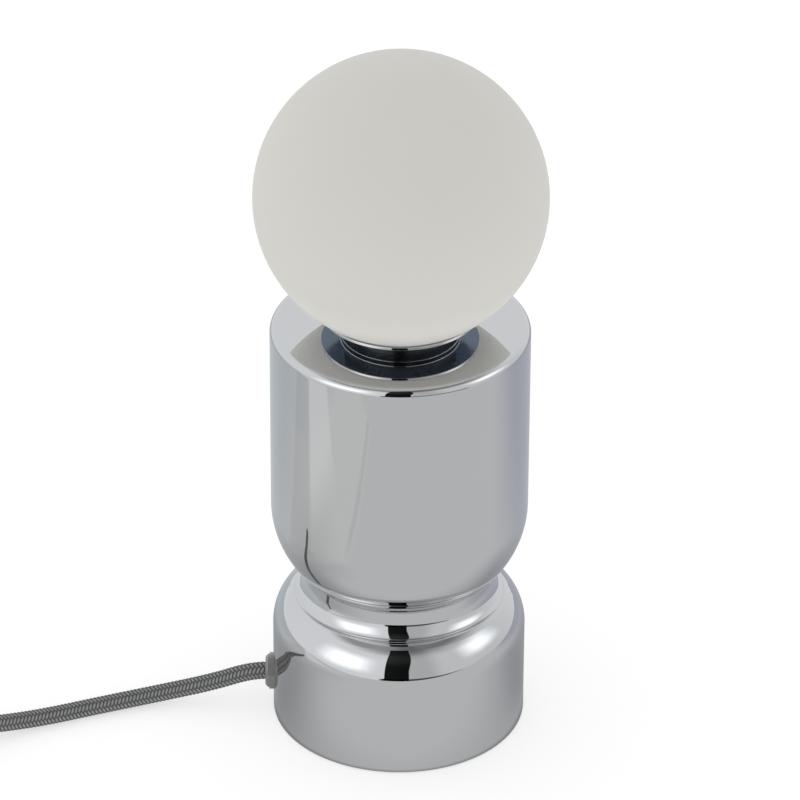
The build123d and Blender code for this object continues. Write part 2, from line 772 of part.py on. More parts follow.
# Tie round the coil where its turns lie straight above each other
tie_low = tie_floor_gap
tie_inner_low = tie_low + tie_thickness
tie_inner_high = coil_low + coil_rise + cord_r + tie_under
tie_reach = coil_pitch * (coil_layer_turns - 2 * tie_turn) / 2 + cord_r + tie_room
tie_frame = block(
    (-tie_reach - tie_thickness, tie_reach + tie_thickness),
    (-tie_width / 2, tie_width / 2),
    (tie_low, tie_inner_high + tie_thickness),
)
tie_frame = fillet(tie_frame.edges().filter_by(Axis.Y), cord_r)
tie_hole = block((-tie_reach, tie_reach), (-tie_width, tie_width), (tie_inner_low, tie_inner_high))
tie_hole = fillet(tie_hole.edges().filter_by(Axis.Y), cord_r - tie_thickness)
tie_place = Pos(coil_centre[0] - coil_radius, coil_centre[1], 0)
nodes["cord_tie"] = tie_place * (tie_frame - tie_hole)

# Cord from the switch to the coil
coil_run = [
    switch_far,
    switch_far + switch_axis * switch_exit_lead,
    (-282.0, -57.2, 6.4),
    coil_start - coil_direction(0) * coil_lead,
    coil_start,
]
nodes["cord_to_coil"] = tube_along(coil_run, "cord to coil")

# Plug: flat two-pin body, flexible boot, sleeved pins, in its own frame with +X out of the pins
plug_axis = heading(plug_heading)
plug_z = plug_floor_gap + plug_thickness / 2
plug_near = Vector(*plug_start, plug_z)
plug_place = Location(Plane(plug_near, x_dir=plug_axis, z_dir=(0, 0, 1)))
plug_face = boot_length + plug_length
half_plug = plug_width / 2
plug_plan = make_face(
    Polyline(
        (boot_length, -plug_neck_width / 2),
        (plug_face - plug_straight, -half_plug),
        (plug_face, -half_plug),
        (plug_face, half_plug),
        (plug_face - plug_straight, half_plug),
        (boot_length, plug_neck_width / 2),
        close=True,
    )
)
plug_body = extrude(plug_plan, plug_thickness / 2, both=True)
plug_levels = plug_body.edges().group_by(Axis.Z)
plug_body = fillet(plug_levels[0] + plug_levels[-1], plug_edge)
boot_axis = Plane((0, 0, 0), x_dir=(0, 1, 0), z_dir=(1, 0, 0))
boot = boot_axis * Cone(
    boot_tip_diameter / 2, boot_root_diameter / 2, boot_length, align=(Align.CENTER, Align.CENTER, Align.MIN)
)
pin_core_r = pin_core_diameter / 2
pin_sides = [side * pin_spacing / 2 for side in (-1, 1)]
plug_pins = []
pin_sleeves = []
for y in pin_sides:
    core_start = (plug_face - pin_root, y, 0)
    sleeve_end = (plug_face + pin_sleeve_length, y, 0)
    core = bar(pin_core_r, core_start, sleeve_end)
    plug_body -= bar(pin_core_r + pin_play, core_start, sleeve_end)
    tip_length = pin_length - pin_sleeve_length
    tip = Cylinder(pin_diameter / 2, tip_length, align=(Align.CENTER, Align.CENTER, Align.MIN))
    tip = fillet(tip.edges().group_by(Axis.Z)[-1], pin_diameter / 4)
    tip = Plane(sleeve_end, x_dir=(0, 1, 0), z_dir=(1, 0, 0)) * tip
    plug_pins.append(plug_place * (core + tip))
    sleeve = bar(pin_sleeve_diameter / 2, (plug_face, y, 0), sleeve_end)
    pin_sleeves.append(plug_place * (sleeve - bar(pin_core_r + pin_play, core_start, sleeve_end)))
nodes["plug_body"] = plug_place * plug_body
nodes["plug_boot"] = plug_place * boot
nodes["plug_pins"] = Compound(children=plug_pins)
nodes["plug_pin_sleeves"] = Compound(children=pin_sleeves)

# Cord from the coil to the plug
plug_run = [
    coil_end,
    coil_end + coil_direction(coil_turns) * plug_lead,
    (-286.0, 46.3, 11.0),
    (-273.0, 43.9, 8.4),
    plug_near - plug_axis * plug_lead,
    plug_near,
]
nodes["cord_to_plug"] = tube_along(plug_run, "cord to plug")

os.makedirs("parts", exist_ok=True)
for name, shape in nodes.items():
    export_step(shape, f"parts/{name}.step")
print(len(nodes), "nodes, height", round(globe_z + globe_r, 1))
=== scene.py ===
"""Looks of the table lamp: chrome body, opal globe, braided cord, switch and plug.

Every piece is in metres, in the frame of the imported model: +Z up, the origin in the middle of
the foot, the cord leaving towards -X and the viewer towards -Y.
"""

import logging
import math
from dataclasses import dataclass, field
from enum import Enum
from typing import Any, Callable, Optional, Sequence, Union

import bpy
import numpy as np
from mathutils import Matrix, Vector

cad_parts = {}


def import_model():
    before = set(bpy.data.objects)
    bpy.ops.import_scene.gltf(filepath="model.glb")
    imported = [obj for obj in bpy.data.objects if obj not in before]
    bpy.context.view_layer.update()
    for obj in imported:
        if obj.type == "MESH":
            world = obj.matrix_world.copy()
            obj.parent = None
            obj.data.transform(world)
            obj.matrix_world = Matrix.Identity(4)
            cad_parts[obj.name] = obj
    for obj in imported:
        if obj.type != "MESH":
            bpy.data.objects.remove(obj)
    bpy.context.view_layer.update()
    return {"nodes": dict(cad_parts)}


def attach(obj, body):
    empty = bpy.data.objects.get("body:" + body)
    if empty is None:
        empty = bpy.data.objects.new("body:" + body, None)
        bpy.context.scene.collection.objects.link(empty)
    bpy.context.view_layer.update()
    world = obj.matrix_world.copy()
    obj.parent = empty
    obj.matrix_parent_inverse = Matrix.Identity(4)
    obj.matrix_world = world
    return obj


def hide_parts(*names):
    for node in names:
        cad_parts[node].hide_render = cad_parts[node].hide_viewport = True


LOG = logging.getLogger("lamp")
MM = 0.001

SMOOTH_ANGLE = 40.0
HALF_TURN = 180.0
WALL_TINT = (0.97, 0.99, 1.0)
FLOOR_LEVEL = 0.74

Number = Union[int, float]
Flat = tuple[float, float]
Point = tuple[float, float, float]
Colour = tuple[float, float, float]


def _maths(operation: str, reflected: bool = False) -> Callable[..., "Term"]:
    """Make a method of Term that adds a Math node.

    Args:
        operation: The Math node's operation.
        reflected: Whether the term comes after the method's other inputs.

    Returns:
        The method.
    """

    def method(self: "Term", *others: Union["Term", Number]) -> "Term":
        """Add the node and give its result."""
        values = (*others, self) if reflected else (self, *others)
        return self.graph.add("ShaderNodeMath", {"operation": operation}, dict(enumerate(values)))

    return method


class Term:
    """A shader socket that can be used in Python expressions."""

    __add__ = _maths("ADD")
    __radd__ = _maths("ADD", True)
    __sub__ = _maths("SUBTRACT")
    __rsub__ = _maths("SUBTRACT", True)
    __mul__ = _maths("MULTIPLY")
    __rmul__ = _maths("MULTIPLY", True)
    __truediv__ = _maths("DIVIDE")
    __pow__ = _maths("POWER")
    __mod__ = _maths("FLOORED_MODULO")
    __abs__ = _maths("ABSOLUTE")
    floor = _maths("FLOOR")
    fract = _maths("FRACT")
    sine = _maths("SINE")
    arcsine = _maths("ARCSINE")
    below = _maths("LESS_THAN")
    angle_from = _maths("ARCTAN2")

    def __init__(self, graph: "Graph", socket: bpy.types.NodeSocket) -> None:
        """Wrap an output socket of a graph's node."""
        self.graph = graph
        self.socket = socket


@dataclass(frozen=True)
class Slope:
    """Smooth step of a term, from nothing at start to one at end; a fall where start is above end."""

    start: float
    end: float

    def of(self, term: Term) -> Term:
        """The step of a term, between nothing and one."""
        settings = {"interpolation_type": "SMOOTHSTEP", "clamp": True}
        sockets = {"Value": term, "From Min": self.start, "From Max": self.end}
        return term.graph.add("ShaderNodeMapRange", settings, sockets)


@dataclass(frozen=True)
class Span:
    """Stretch of a term between two values, with soft flanks around both."""

    low: float
    high: float
    soft: float

    def of(self, term: Term) -> Term:
        """One where a term is in the stretch, else nothing."""
        rise = Slope(self.low - self.soft, self.low + self.soft).of(term)
        return rise * Slope(self.high + self.soft, self.high - self.soft).of(term)


@dataclass(frozen=True)
class Patch:
    """Patch where two terms are both in their stretch, of a given share."""

    first: Union[Slope, Span]
    second: Union[Slope, Span]
    share: float

    def of(self, first: Term, second: Term) -> Term:
        """The share in the patch, and nothing outside it."""
        return self.share * self.first.of(first) * self.second.of(second)


class Graph:
    """Node tree of a material or of the world."""

    def __init__(self, owner: Union[bpy.types.Material, bpy.types.World]) -> None:
        """Empty the owner's node tree and put an output in it."""
        owner.use_nodes = True
        self.tree = owner.node_tree
        self.tree.nodes.clear()
        is_world = isinstance(owner, bpy.types.World)
        self.output = self.tree.nodes.new("ShaderNodeOutputWorld" if is_world else "ShaderNodeOutputMaterial")

    def add(
        self,
        kind: str,
        settings: Optional[dict[str, Any]] = None,
        sockets: Optional[dict[Union[str, int], Any]] = None,
        result: Union[str, int] = 0,
    ) -> Term:
        """Add any node.

        Args:
            kind: The node's type.
            settings: Properties that are set first.
            sockets: Values or links of its inputs, by name or place.
            result: The output that is returned.

        Returns:
            That output.
        """
        node = self.tree.nodes.new(kind)
        for name, value in (settings or {}).items():
            setattr(node, name, value)
        for name, value in (sockets or {}).items():
            self.feed(node.inputs[name], value)
        return Term(self, node.outputs[result])

    def feed(self, socket: bpy.types.NodeSocket, value: Any) -> None:
        """Link an input to a term, or set it to a plain value."""
        if isinstance(value, Term):
            self.tree.links.new(value.socket, socket)
        else:
            socket.default_value = value

    def finish(self, shader: Term) -> None:
        """Make a shader the surface of the output."""
        self.feed(self.output.inputs["Surface"], shader)

    def mix(self, share: Union[Term, float], first: Any, second: Any) -> Term:
        """Blend of two colours or colour terms, the second by its share."""
        settings = {"data_type": "RGBA", "clamp_factor": True}
        sockets = {0: share, 6: rgba(first), 7: rgba(second)}
        return self.add("ShaderNodeMix", settings, sockets, 2)

    def toned(self, share: Term, colour: Colour, tones: Flat) -> Term:
        """Blend of a colour at two tones, the second by its share."""
        return self.mix(share, scaled(colour, tones[0]), scaled(colour, tones[1]))

    def noise(self, place: Term, scale: float, detail: float = 3.0, roughness: float = 0.5) -> Term:
        """Noise around one half at a scale per metre."""
        sockets = {"Vector": place, "Scale": scale, "Detail": detail, "Roughness": roughness}
        return self.add("ShaderNodeTexNoise", {}, sockets)

    def bump(self, height: Term, distance: float, strength: float) -> Term:
        """Normal of a surface raised by a height term."""
        sockets = {"Strength": strength, "Distance": distance, "Height": height}
        return self.add("ShaderNodeBump", {}, sockets)

    def place(self) -> Term:
        """Position on the object, in metres."""
        return self.add("ShaderNodeTexCoord", {}, {}, "Object")

    def facing(self) -> Term:
        """How far the surface faces up, from minus one to one."""
        return self.axes(self.add("ShaderNodeNewGeometry", {}, {}, "Normal"))[2]

    def axes(self, vector: Term) -> tuple[Term, Term, Term]:
        """The three parts of a vector."""
        node = self.add("ShaderNodeSeparateXYZ", {}, {"Vector": vector}).socket.node
        return Term(self, node.outputs[0]), Term(self, node.outputs[1]), Term(self, node.outputs[2])

    def stretched(self, vector: Term, factors: Point) -> Term:
        """A vector with each part multiplied."""
        return self.add("ShaderNodeVectorMath", {"operation": "MULTIPLY"}, {0: vector, 1: factors})

    def surface(self, **sockets: Any) -> Term:
        """Principled shader; socket names are written with underscores."""
        named = {name.replace("_", " "): value for name, value in sockets.items()}
        return self.add("ShaderNodeBsdfPrincipled", {}, named)


def rgba(colour: Any) -> Any:
    """A colour with its fourth part, or a term as it is."""
    return colour if isinstance(colour, Term) else (*colour, 1.0)


def grey(level: float) -> Colour:
    """Neutral colour of a level."""
    return (level, level, level)


def scaled(colour: Colour, factor: float) -> Colour:
    """A colour made lighter or darker."""
    return (colour[0] * factor, colour[1] * factor, colour[2] * factor)


@dataclass(frozen=True)
class Finish:
    """A finish that is made into one material.

    Args:
        name: The material slot that it is for.
        colour: Its main colour.
        roughness: Its main roughness.
    """

    name: str
    colour: Colour
    roughness: float

    def material(self) -> bpy.types.Material:
        """Make the material, or give the one that was made before."""
        name = self.name + "_finish"
        made = bpy.data.materials.get(name)
        if made is None:
            made = bpy.data.materials.new(name)
            graph = Graph(made)
            graph.finish(self.shade(graph))
        return made

    def shade(self, graph: Graph) -> Term:
        """Build the finish's nodes.

        Args:
            graph: The empty node tree.

        Returns:
            The finish's shader.
        """
        raise NotImplementedError


@dataclass(frozen=True)
class ChromePlate(Finish):
    """Mirror-bright plating over turned metal, with faint polishing marks round the axis."""

    rings_per_metre: float = 2600.0
    ring_squash: Point = (0.02, 0.02, 1.0)
    cloud_per_metre: float = 34.0
    even_share: float = 0.6
    ring_share: float = 0.5
    cloud_share: float = 0.4
    tones: Flat = (0.985, 1.01)

    def shade(self, graph: Graph) -> Term:
        """Build the plating's nodes."""
        place = graph.place()
        rings = graph.noise(graph.stretched(place, self.ring_squash), self.rings_per_metre)
        cloud = graph.noise(place, self.cloud_per_metre)
        uneven = self.even_share + self.ring_share * rings + self.cloud_share * cloud
        return graph.surface(
            Base_Color=graph.toned(cloud, self.colour, self.tones),
            Metallic=1.0,
            Roughness=self.roughness * uneven,
        )


@dataclass(frozen=True)
class GalleryPlate(ChromePlate):
    """Chrome plating, dark and satin where the piece faces down, with the bead's upright faces painted
    near-black as a painted dark reflection.
    """

    under_facing: Slope = Slope(-0.9, -0.97)
    under_colour: Colour = (0.40, 0.49, 0.60)
    under_tones: Flat = (0.85, 1.0)
    under_cloud_per_metre: float = 240.0
    under_roughness: float = 0.08
    under_unevenness: float = 0.1
    under_dullness: float = 0.28
    # Painted dark reflection on the bead's upright faces.
    painted_dark_reach: float = 0.0252
    painted_dark_top: float = 0.1925
    painted_dark_facing: Slope = Slope(0.3, 0.1)
    painted_dark_level: float = 0.012
    painted_dark_roughness: float = 0.1

    def shade(self, graph: Graph) -> Term:
        """Build the plating's nodes and those of its underside and of the painted dark reflection on the
        bead.
        """
        place = graph.place()
        x, y, z = graph.axes(place)
        facing = graph.facing()
        under = self.under_facing.of(facing)
        reach = (x * x + y * y) ** 0.5
        # Painted dark reflection: the bead's upright faces turn near-black and non-metallic, as if mirroring
        # the dark underside.
        painted_dark = reach.below(self.painted_dark_reach) * z.below(self.painted_dark_top) * self.painted_dark_facing.of(abs(facing))
        cloud = graph.noise(place, self.under_cloud_per_metre)
        colour = graph.mix(under, self.colour, graph.toned(cloud, self.under_colour, self.under_tones))
        satin = (self.under_roughness + self.under_unevenness * cloud) * under
        return graph.surface(
            Base_Color=graph.mix(painted_dark, colour, grey(self.painted_dark_level)),
            Metallic=(1.0 - self.under_dullness * under) * (1.0 - painted_dark),
            Roughness=self.roughness + satin + self.painted_dark_roughness * painted_dark,
        )


@dataclass(frozen=True)
class OpalGlass(Finish):
    """White opal glass with a satin etched skin, whose underside has painted light: a faint glow that stands
    in for light through the glass.
    """

    cloud_per_metre: float = 22.0
    tones: Flat = (0.985, 1.012)
    grain_per_metre: float = 5200.0
    grain_roughness: float = 0.08
    grain_depth: float = 0.00002
    grain_strength: float = 0.25
    scatter: float = 0.3
    scatter_reach: Point = (0.008, 0.008, 0.007)
    shine: float = 0.1
    # Painted light on the globe's underside.
    painted_underside_glow: float = 0.2
    painted_glow_facing: Slope = Slope(-0.35, -0.85)

    def shade(self, graph: Graph) -> Term:
        """Build the glass's nodes."""
        place = graph.place()
        cloud = graph.noise(place, self.cloud_per_metre)
        grain = graph.noise(place, self.grain_per_metre, 2.0)
        under = self.painted_glow_facing.of(graph.facing())
        return graph.surface(
            Base_Color=graph.toned(cloud, self.colour, self.tones),
            Roughness=self.roughness + self.grain_roughness * grain,
            Subsurface_Weight=self.scatter,
            Subsurface_Radius=self.scatter_reach,
            Subsurface_Scale=1.0,
            Specular_IOR_Level=self.shine,
            # Painted light: faces turned down glow faintly, to brighten the globe's underside.
            Emission_Color=graph.toned(under, self.colour, (0.0, self.painted_underside_glow)),
            Emission_Strength=1.0,
            Normal=graph.bump(grain, self.grain_depth, self.grain_strength),
        )


@dataclass(frozen=True)
class SmokyPlastic(Finish):
    """Smoky translucent moulded plastic."""

    streak_per_metre: float = 420.0
    streak_squash: Point = (1.0, 1.0, 0.25)
    streak_roughness: float = 0.1
    tones: Flat = (0.8, 1.12)
    ior: float = 1.49
    clearness: float = 0.15
    coat: float = 0.6
    coat_roughness: float = 0.1

    def shade(self, graph: Graph) -> Term:
        """Build the plastic's nodes."""
        streak = graph.noise(graph.stretched(graph.place(), self.streak_squash), self.streak_per_metre)
        return graph.surface(
            Base_Color=graph.toned(streak, self.colour, self.tones),
            Roughness=self.roughness + self.streak_roughness * streak,
            IOR=self.ior,
            Transmission_Weight=self.clearness,
            Coat_Weight=self.coat,
            Coat_Roughness=self.coat_roughness,
        )


@dataclass(frozen=True)
class MouldedPlastic(Finish):
    """Moulded plastic with a fine spark-eroded skin."""

    grain_per_metre: float = 2400.0
    grain_depth: float = 0.00006
    tone: float = 0.12
    grain_detail: float = 3.0
    grain_fineness: float = 0.6
    grain_share: float = 0.0
    grain_roughness: float = 0.14
    grain_strength: float = 0.5
    cloud_per_metre: float = 60.0

    def shade(self, graph: Graph) -> Term:
        """Build the nodes of the skin, uneven by its grain and by larger clouds."""
        place = graph.place()
        grain = graph.noise(place, self.grain_per_metre, self.grain_detail, self.grain_fineness)
        cloud = graph.noise(place, self.cloud_per_metre, 2.0)
        uneven = self.grain_share * grain + (1.0 - self.grain_share) * cloud
        return graph.surface(
            Base_Color=graph.toned(uneven, self.colour, (1.0 - self.tone, 1.0 + self.tone)),
            Roughness=self.roughness + self.grain_roughness * (grain - 0.5),
            Normal=graph.bump(grain, self.grain_depth, self.grain_strength),
        )


@dataclass(frozen=True)
class RoughMass(MouldedPlastic):
    """Rough, dull mass: casting, foam, unglazed ceramic or rubber."""

    grain_per_metre: float = 900.0
    grain_depth: float = 0.0002
    tone: float = 0.2
    grain_detail: float = 4.0
    grain_fineness: float = 0.65
    grain_share: float = 0.6
    grain_roughness: float = 0.0
    grain_strength: float = 0.7
    cloud_per_metre: float = 45.0


@dataclass(frozen=True)
class PlatedMetal(Finish):
    """Bare or zinc-plated metal with a satin, slightly uneven skin."""

    scratch_per_metre: float = 2200.0
    scratch_squash: Point = (1.0, 1.0, 0.1)
    scratch_roughness: float = 0.16
    scratch_depth: float = 0.00002
    scratch_strength: float = 0.3
    cloud_per_metre: float = 130.0
    tones: Flat = (0.86, 1.06)

    def shade(self, graph: Graph) -> Term:
        """Build the metal's nodes."""
        place = graph.place()
        scratch = graph.noise(graph.stretched(place, self.scratch_squash), self.scratch_per_metre)
        cloud = graph.noise(place, self.cloud_per_metre)
        return graph.surface(
            Base_Color=graph.toned(cloud, self.colour, self.tones),
            Metallic=1.0,
            Roughness=self.roughness + self.scratch_roughness * (scratch - 0.5),
            Normal=graph.bump(scratch, self.scratch_depth, self.scratch_strength),
        )


@dataclass(frozen=True)
class FrostedGlass(Finish):
    """Frosted glass of a small bulb."""

    frost_per_metre: float = 3000.0
    frost_roughness: float = 0.15
    tones: Flat = (0.96, 1.0)
    clearness: float = 0.5

    def shade(self, graph: Graph) -> Term:
        """Build the glass's nodes."""
        frost = graph.noise(graph.place(), self.frost_per_metre)
        return graph.surface(
            Base_Color=graph.toned(frost, self.colour, self.tones),
            Roughness=self.roughness + self.frost_roughness * frost,
            Transmission_Weight=self.clearness,
        )


@dataclass(frozen=True)
class Braid(Finish):
    """Textile braid drawn from the tube's own coordinates: share of a turn, and metres along.

    Args:
        strands: Strands that run each way round the cord; an even number.
        pitch: Distance along the cord between two strands.
        tuck: Height of a strand where it goes under another.
        arch: Power that makes the strand's rise steep at its ends.
        threads: Threads side by side in a strand.
        lean: How far the threads drift across the strand.
    """

    strands: int = 8
    pitch: float = 1.63 * MM
    tuck: float = 0.3
    arch: float = 0.6
    threads: float = 5.0
    lean: float = 0.12
    tones: Flat = (0.42, 1.5)
    # Strand height with thread and fuzz tone to colour: painted shade and painted highlight mixed with the
    # yarn's own tone.
    painted_shade_and_tone_slope: Slope = Slope(0.3, 0.95)
    thread_tone: float = 0.14
    fuzz_tone: float = 0.3
    fuzz_per_metre: float = 5200.0
    strand_bump: float = 0.8
    thread_bump: float = 0.12
    fuzz_bump: float = 0.1
    bump_depth: float = 0.0003
    bump_strength: float = 0.8
    shine: float = 0.2
    map_name: str = "braid"

    def _ways(self, turn: Any, along: Any) -> tuple[Any, Any]:
        """Places across the strands of either way, counted in strands."""
        across, advance = turn * float(self.strands), along / self.pitch
        return across + advance, across - advance

    def relief(self, turn: np.ndarray, along: np.ndarray) -> np.ndarray:
        """Height of the strands between nothing and one, for the tube's mesh.

        Args:
            turn: Share of a turn round the cord.
            along: Metres along the cord.

        Returns:
            One height for each point.
        """
        first, second = self._ways(turn, along)
        step = np.mod(np.floor(first) + np.floor(second), 4.0)
        over = step < 2.0
        across = np.where(over, np.mod(first, 1.0), np.mod(second, 1.0))
        run = np.where(over, np.mod(second, 1.0) + step, np.mod(first, 1.0) + step - 2.0) / 2.0
        rise = np.sin(np.pi * np.clip(run, 0.0, 1.0)) ** self.arch
        return np.sin(np.pi * across) * (self.tuck + (1.0 - self.tuck) * rise)

    def shade(self, graph: Graph) -> Term:
        """Build the braid's nodes."""
        turn, along, _ = graph.axes(graph.add("ShaderNodeUVMap", {"uv_map": self.map_name}))
        first, second = self._ways(turn, along)
        step = (first.floor() + second.floor()) % 4.0
        over = step.below(1.5)
        across = over * first.fract() + (1.0 - over) * second.fract()
        run = (over * second.fract() + (1.0 - over) * first.fract() + step - 2.0 * (1.0 - over)) / 2.0
        rise = (run * math.pi).sine() ** self.arch
        height = (across * math.pi).sine() * (self.tuck + (1.0 - self.tuck) * rise)
        threads = abs((across * self.threads + self.lean * run).fract() - 0.5) * 2.0
        fuzz = graph.noise(graph.place(), self.fuzz_per_metre, 2.0)
        # Colour follows strand height: painted shade in the gaps and painted highlight on the crowns, plus
        # the yarn's own thread and fuzz tone.
        tone = height + self.thread_tone * (threads - 0.5) + self.fuzz_tone * (fuzz - 0.5)
        skin = self.strand_bump * height + self.thread_bump * threads + self.fuzz_bump * fuzz
        return graph.surface(
            Base_Color=graph.toned(self.painted_shade_and_tone_slope.of(tone), self.colour, self.tones),
            Roughness=self.roughness,
            Specular_IOR_Level=self.shine,
            Normal=graph.bump(skin, self.bump_depth, self.bump_strength),
        )


class Coating(Enum):
    """Every finish on the lamp."""

    CHROME = ChromePlate("chrome_plate", (0.585, 0.588, 0.598), 0.012)
    GALLERY = GalleryPlate("gallery_chrome", (0.585, 0.588, 0.598), 0.012)
    OPAL = OpalGlass("opal_glass", (0.66, 0.652, 0.615), 0.6)
    SMOKE = SmokyPlastic("gland_plastic", (0.24, 0.236, 0.231), 0.16)
    BRAID = Braid("braided_cord", (0.20, 0.202, 0.205), 0.75)
    SHELL = MouldedPlastic("switch_plastic", (0.030, 0.030, 0.032), 0.46)
    ROCKER = MouldedPlastic("rocker_plastic", (0.026, 0.026, 0.027), 0.22, grain_depth=0.00001)
    SPACER = MouldedPlastic("spacer_plastic", (0.010, 0.010, 0.011), 0.2, 900.0, 0.000002)
    BOOT = MouldedPlastic("boot_plastic", (0.022, 0.022, 0.023), 0.55)
    BAND = RoughMass("tie_band", (0.018, 0.018, 0.019), 0.85, 2600.0, 0.00015)
    WHITE = MouldedPlastic("white_plastic", (0.74, 0.74, 0.71), 0.5, tone=0.03)
    ZINC = PlatedMetal("zinc_steel", (0.60, 0.61, 0.62), 0.34)
    BRASS = PlatedMetal("contact_brass", (0.78, 0.58, 0.26), 0.3)
    CASTING = RoughMass("cast_weight", (0.06, 0.06, 0.065), 0.7)
    FOAM = RoughMass("foam_pad", (0.02, 0.02, 0.02), 0.95, 1600.0, 0.0003)
    CERAMIC = RoughMass("holder_ceramic", (0.74, 0.72, 0.66), 0.6, 1800.0, 0.00006, 0.05)
    SILICONE = RoughMass("silicone", (0.70, 0.70, 0.68), 0.5, 700.0, 0.00003, 0.04)
    FROST = FrostedGlass("bulb_glass", (0.86, 0.86, 0.84), 0.4)
    CORE = MouldedPlastic("core_insulation", (0.42, 0.42, 0.42), 0.5)
    BROWN = MouldedPlastic("brown_insulation", (0.17, 0.075, 0.035), 0.5)
    BLUE = MouldedPlastic("blue_insulation", (0.03, 0.10, 0.38), 0.5)

    def dress(self, *pieces: bpy.types.Object) -> None:
        """Give this finish to pieces, in place of what they had."""
        material = self.value.material()
        for piece in pieces:
            piece.data.materials.clear()
            piece.data.materials.append(material)


def link(name: str, data: bpy.types.ID) -> bpy.types.Object:
    """Put a new mesh, curve or camera in the scene as an object."""
    made = bpy.data.objects.new(name, data)
    bpy.context.scene.collection.objects.link(made)
    return made


def mesh_object(
    name: str, points: np.ndarray, faces: Sequence[Sequence[int]], smooth_angle: float = SMOOTH_ANGLE
) -> bpy.types.Object:
    """Make a mesh object.

    Args:
        name: The object's name.
        points: Its points, one row each, in metres.
        faces: Point numbers of each face.
        smooth_angle: Edges that turn more than this many degrees stay sharp.

    Returns:
        The object.
    """
    mesh = bpy.data.meshes.new(name)
    mesh.from_pydata(np.asarray(points, float).tolist(), [], [list(face) for face in faces])
    mesh.update()
    mesh.shade_smooth()
    mesh.set_sharp_from_angle(angle=math.radians(smooth_angle))
    return link(name, mesh)


def arc(centre: Flat, radius: float, start: float, end: float) -> list[Flat]:
    """Points of an arc in the turning plane.

    Args:
        centre: Its centre, as distance from the axis and height in millimetres.
        radius: Its radius in millimetres, negative for an arc that is hollow outside.
        start: Angle of its first point in degrees.
        end: Angle of its last point in degrees.

    Returns:
        The points in millimetres, a degree or less apart.
    """
    angles = np.radians(np.linspace(start, end, 2 + int(abs(end - start))))
    return [(centre[0] + radius * math.cos(a), centre[1] + radius * math.sin(a)) for a in angles]


def turned(name: str, outline: Sequence[Flat], steps: int = 480) -> bpy.types.Object:
    """Turn a closed outline round the lamp's axis.

    Args:
        name: The object's name.
        outline: Its points, as distance from the axis and height in millimetres, going round once.
        steps: Points in each ring.

    Returns:
        The turned piece.
    """
    angles = np.linspace(0.0, 2.0 * math.pi, steps, endpoint=False)
    profile = np.asarray(outline, float) * MM
    across = np.outer(profile[:, 0], np.cos(angles))
    along = np.outer(profile[:, 0], np.sin(angles))
    heights = np.repeat(profile[:, 1:], steps, axis=1)
    points = np.stack([across, along, heights], axis=2).reshape(-1, 3)
    count = len(profile)
    faces = [
        (i * steps + k, i * steps + (k + 1) % steps, j * steps + (k + 1) % steps, j * steps + k)
        for i, j in zip(range(count), [*range(1, count), 0])
        for k in range(steps)
    ]
    return mesh_object(name, points, faces)


def plated(node: str, outline: Sequence[Flat]) -> None:
    """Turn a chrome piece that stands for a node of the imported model's lamp body.

    Args:
        node: The node's name.
        outline: The piece's outline, as for turned.
    """
    piece = turned(f"{node}_turned", outline)
    Coating.CHROME.dress(piece)
    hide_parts(node)
    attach(piece, "lamp")
    LOG.info("%s: in place of %s", piece.name, node)


@dataclass
class Collar:
    """Turned collar between base and cup, whose cove flares into a thin flat edge on the shoulder."""

    shoulder_centre: Flat = (34.0, 42.2)
    shoulder_radius: float = 19.0
    shoulder_start: float = 50.834
    shoulder_end: float = 58.4
    edge_centre: Flat = (43.8, 58.62)
    edge_radius: float = 0.2
    flare_radius: float = 3.5
    flare_angle: float = 84.0
    cove_radius: float = 10.0
    cove_angle: float = 42.0
    top: float = 70.431
    wall: float = 2.5

    def outline(self) -> list[Flat]:
        """Outline from the seat on the base up to the cup and down the inside, in millimetres."""
        shoulder = arc(self.shoulder_centre, self.shoulder_radius, self.shoulder_start, self.shoulder_end)
        edge = arc(self.edge_centre, self.edge_radius, 0.0, self.flare_angle)
        flare = self._hollow(edge[-1], self.flare_radius, self.flare_angle, self.cove_angle)
        cove = self._hollow(flare[-1], self.cove_radius, self.cove_angle, 0.0)
        waist = cove[-1][0]
        inside = [(waist - self.wall, self.top), (waist - self.wall, shoulder[0][1])]
        return [*shoulder, *edge, *flare[1:], *cove[1:], (waist, self.top), *inside]

    @staticmethod
    def _hollow(start: Flat, radius: float, first: float, last: float) -> list[Flat]:
        """Hollow arc that goes on from a point.

        Args:
            start: The point.
            radius: The arc's radius in millimetres.
            first: Slope of its surface at the point, in degrees.
            last: Slope of its surface at its end, in degrees.

        Returns:
            The arc's points in millimetres.
        """
        turn = math.radians(first)
        centre = (start[0] + radius * math.cos(turn), start[1] + radius * math.sin(turn))
        return arc(centre, -radius, first, last)

    def build(self) -> None:
        """Make the collar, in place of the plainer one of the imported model."""
        plated("waist_collar", self.outline())


